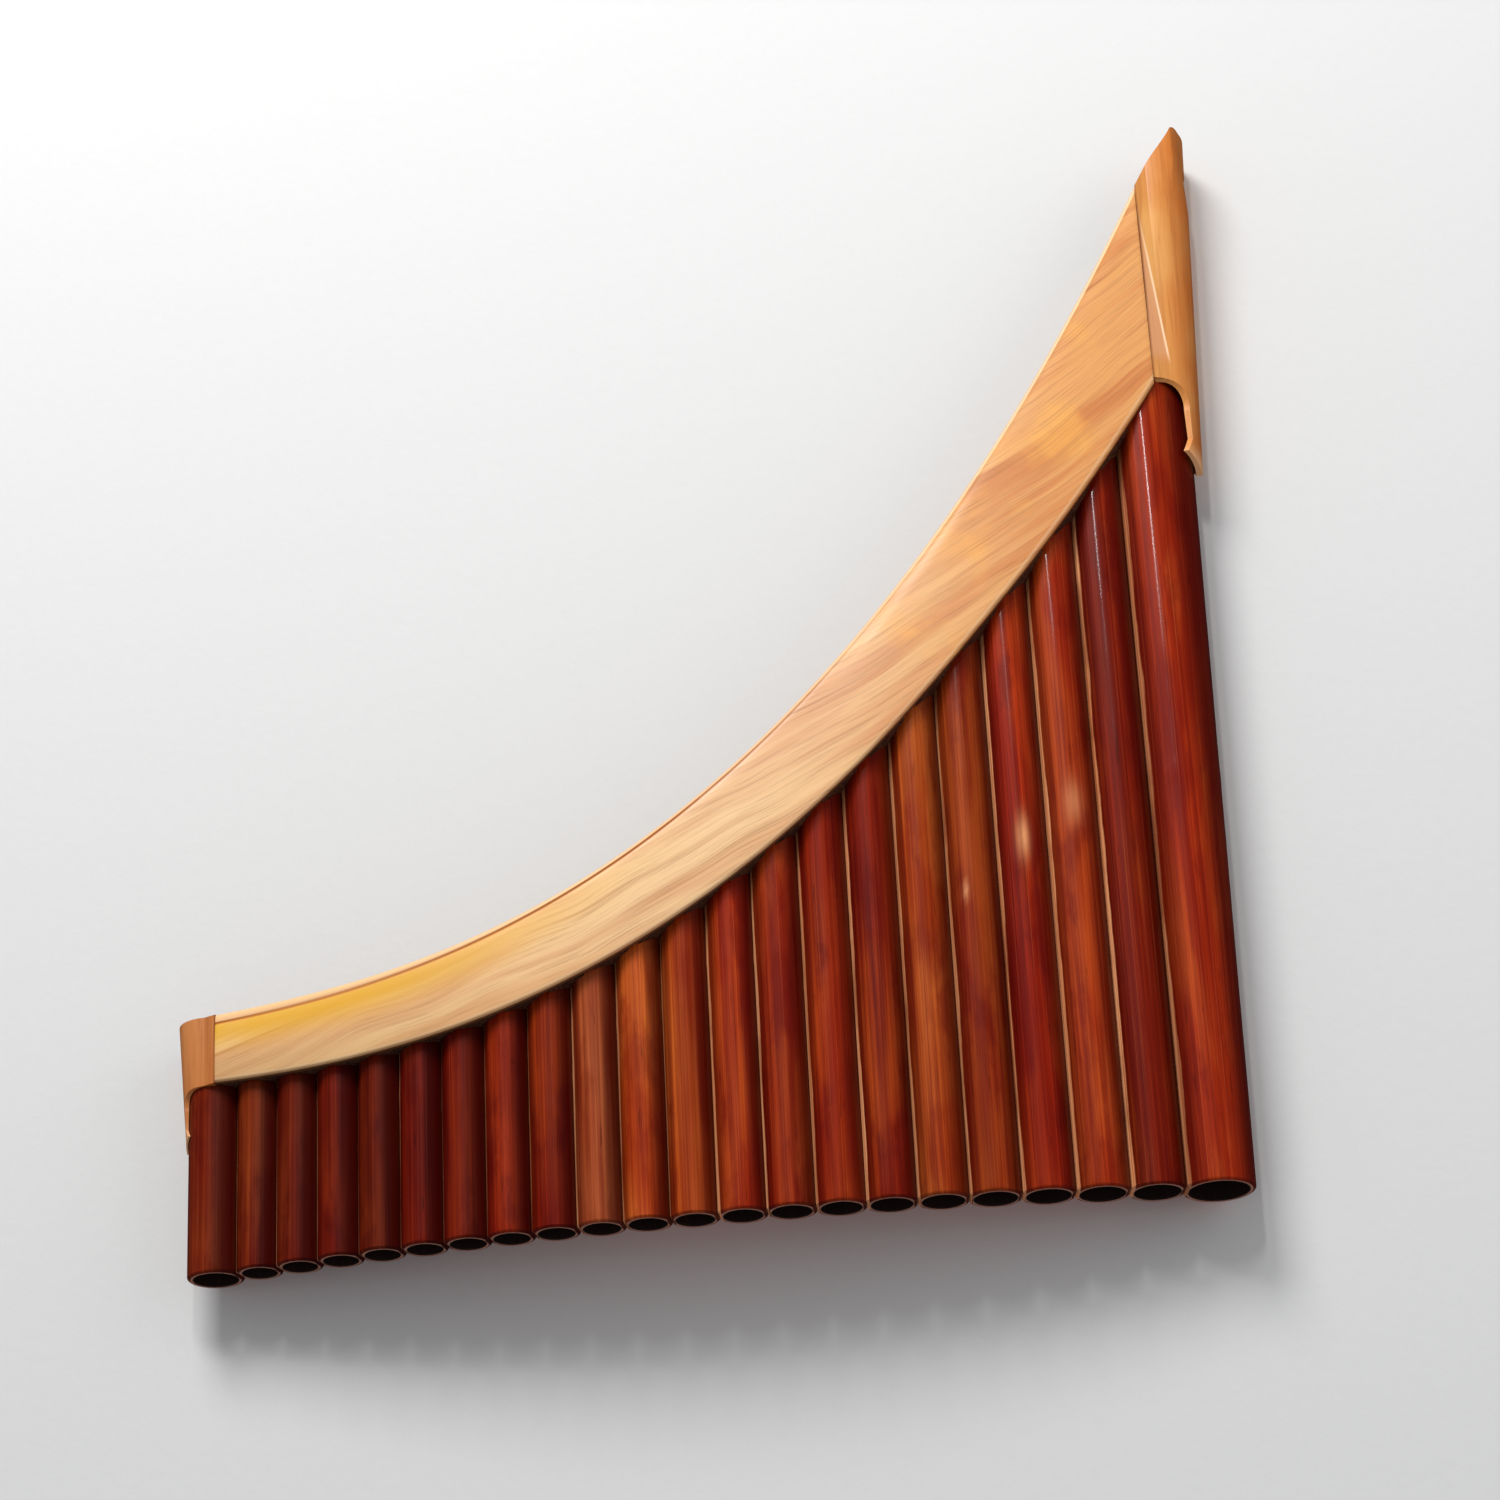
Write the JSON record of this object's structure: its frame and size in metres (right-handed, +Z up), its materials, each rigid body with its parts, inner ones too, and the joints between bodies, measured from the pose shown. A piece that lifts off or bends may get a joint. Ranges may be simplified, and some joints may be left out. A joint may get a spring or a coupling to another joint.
{
  "type": "pan flute",
  "caption": "Curved pan flute: a graded row of glued bamboo pipes held at the mouth end by two sloping wooden bands and two carved end cheeks, tuned by sliding cork stoppers.",
  "frame": {"origin": "middle of the row of pipes at the level of their lower ends, on the arc through the pipes' axes", "axes": "+Z up along the pipes towards their mouths; +X along the row towards the longest pipe; -Y out of the convex front"},
  "size_m": [0.3311, 0.0413, 0.359],
  "materials": {
    "cane_red": "gloss lacquer",
    "cane_maroon": "gloss lacquer",
    "cane_orange": "gloss lacquer",
    "cane_tan": "gloss lacquer",
    "band_wood": "satin lacquer",
    "cheek_wood": "satin lacquer",
    "filler": "matt, sawdust in glue",
    "cork": "matt cork"
  },
  "bodies": {
    "flute": {"pipe_01": "cane_red", "pipe_02": "cane_maroon", "pipe_03": "cane_red", "pipe_04": "cane_maroon", "pipe_05": "cane_red", "pipe_06": "cane_orange", "pipe_07": "cane_maroon", "pipe_08": "cane_maroon", "pipe_09": "cane_red", "pipe_10": "cane_red", "pipe_11": "cane_orange", "pipe_12": "cane_orange", "pipe_13": "cane_tan", "pipe_14": "cane_maroon", "pipe_15": "cane_maroon", "pipe_16": "cane_maroon", "pipe_17": "cane_maroon", "pipe_18": "cane_maroon", "pipe_19": "cane_maroon", "pipe_20": "cane_red", "pipe_21": "cane_red", "pipe_22": "cane_red", "front_band": "band_wood", "back_band": "band_wood", "front_filler": "filler", "back_filler": "filler", "short_cheek": "cheek_wood", "tall_cheek": "cheek_wood"},
    "stopper_01": {"stopper_01": "cork"},
    "stopper_02": {"stopper_02": "cork"},
    "stopper_03": {"stopper_03": "cork"},
    "stopper_04": {"stopper_04": "cork"},
    "stopper_05": {"stopper_05": "cork"},
    "stopper_06": {"stopper_06": "cork"},
    "stopper_07": {"stopper_07": "cork"},
    "stopper_08": {"stopper_08": "cork"},
    "stopper_09": {"stopper_09": "cork"},
    "stopper_10": {"stopper_10": "cork"},
    "stopper_11": {"stopper_11": "cork"},
    "stopper_12": {"stopper_12": "cork"},
    "stopper_13": {"stopper_13": "cork"},
    "stopper_14": {"stopper_14": "cork"},
    "stopper_15": {"stopper_15": "cork"},
    "stopper_16": {"stopper_16": "cork"},
    "stopper_17": {"stopper_17": "cork"},
    "stopper_18": {"stopper_18": "cork"},
    "stopper_19": {"stopper_19": "cork"},
    "stopper_20": {"stopper_20": "cork"},
    "stopper_21": {"stopper_21": "cork"},
    "stopper_22": {"stopper_22": "cork"}
  },
  "joints": [
    {"name": "stopper_01_slide", "type": "slide", "parent": "flute", "child": "stopper_01", "axis": [0, 0, 1], "range_m": [-0.0127, 0.01198]},
    {"name": "stopper_02_slide", "type": "slide", "parent": "flute", "child": "stopper_02", "axis": [0, 0, 1], "range_m": [-0.01136, 0.01071]},
    {"name": "stopper_03_slide", "type": "slide", "parent": "flute", "child": "stopper_03", "axis": [0, 0, 1], "range_m": [-0.0101, 0.00952]},
    {"name": "stopper_04_slide", "type": "slide", "parent": "flute", "child": "stopper_04", "axis": [0, 0, 1], "range_m": [-0.00952, 0.00898]},
    {"name": "stopper_05_slide", "type": "slide", "parent": "flute", "child": "stopper_05", "axis": [0, 0, 1], "range_m": [-0.00846, 0.00798]},
    {"name": "stopper_06_slide", "type": "slide", "parent": "flute", "child": "stopper_06", "axis": [0, 0, 1], "range_m": [-0.00752, 0.00709]},
    {"name": "stopper_07_slide", "type": "slide", "parent": "flute", "child": "stopper_07", "axis": [0, 0, 1], "range_m": [-0.00668, 0.0063]},
    {"name": "stopper_08_slide", "type": "slide", "parent": "flute", "child": "stopper_08", "axis": [0, 0, 1], "range_m": [-0.0063, 0.00594]},
    {"name": "stopper_09_slide", "type": "slide", "parent": "flute", "child": "stopper_09", "axis": [0, 0, 1], "range_m": [-0.00559, 0.00527]},
    {"name": "stopper_10_slide", "type": "slide", "parent": "flute", "child": "stopper_10", "axis": [0, 0, 1], "range_m": [-0.00496, 0.00468]},
    {"name": "stopper_11_slide", "type": "slide", "parent": "flute", "child": "stopper_11", "axis": [0, 0, 1], "range_m": [-0.00468, 0.00441]},
    {"name": "stopper_12_slide", "type": "slide", "parent": "flute", "child": "stopper_12", "axis": [0, 0, 1], "range_m": [-0.00415, 0.00391]},
    {"name": "stopper_13_slide", "type": "slide", "parent": "flute", "child": "stopper_13", "axis": [0, 0, 1], "range_m": [-0.00368, 0.00347]},
    {"name": "stopper_14_slide", "type": "slide", "parent": "flute", "child": "stopper_14", "axis": [0, 0, 1], "range_m": [-0.00326, 0.00307]},
    {"name": "stopper_15_slide", "type": "slide", "parent": "flute", "child": "stopper_15", "axis": [0, 0, 1], "range_m": [-0.00307, 0.00289]},
    {"name": "stopper_16_slide", "type": "slide", "parent": "flute", "child": "stopper_16", "axis": [0, 0, 1], "range_m": [-0.00271, 0.00256]},
    {"name": "stopper_17_slide", "type": "slide", "parent": "flute", "child": "stopper_17", "axis": [0, 0, 1], "range_m": [-0.0024, 0.00226]},
    {"name": "stopper_18_slide", "type": "slide", "parent": "flute", "child": "stopper_18", "axis": [0, 0, 1], "range_m": [-0.00226, 0.00213]},
    {"name": "stopper_19_slide", "type": "slide", "parent": "flute", "child": "stopper_19", "axis": [0, 0, 1], "range_m": [-0.00199, 0.00188]},
    {"name": "stopper_20_slide", "type": "slide", "parent": "flute", "child": "stopper_20", "axis": [0, 0, 1], "range_m": [-0.00175, 0.00165]},
    {"name": "stopper_21_slide", "type": "slide", "parent": "flute", "child": "stopper_21", "axis": [0, 0, 1], "range_m": [-0.00154, 0.00146]},
    {"name": "stopper_22_slide", "type": "slide", "parent": "flute", "child": "stopper_22", "axis": [0, 0, 1], "range_m": [-0.00139, 0.00131]}
  ]
}
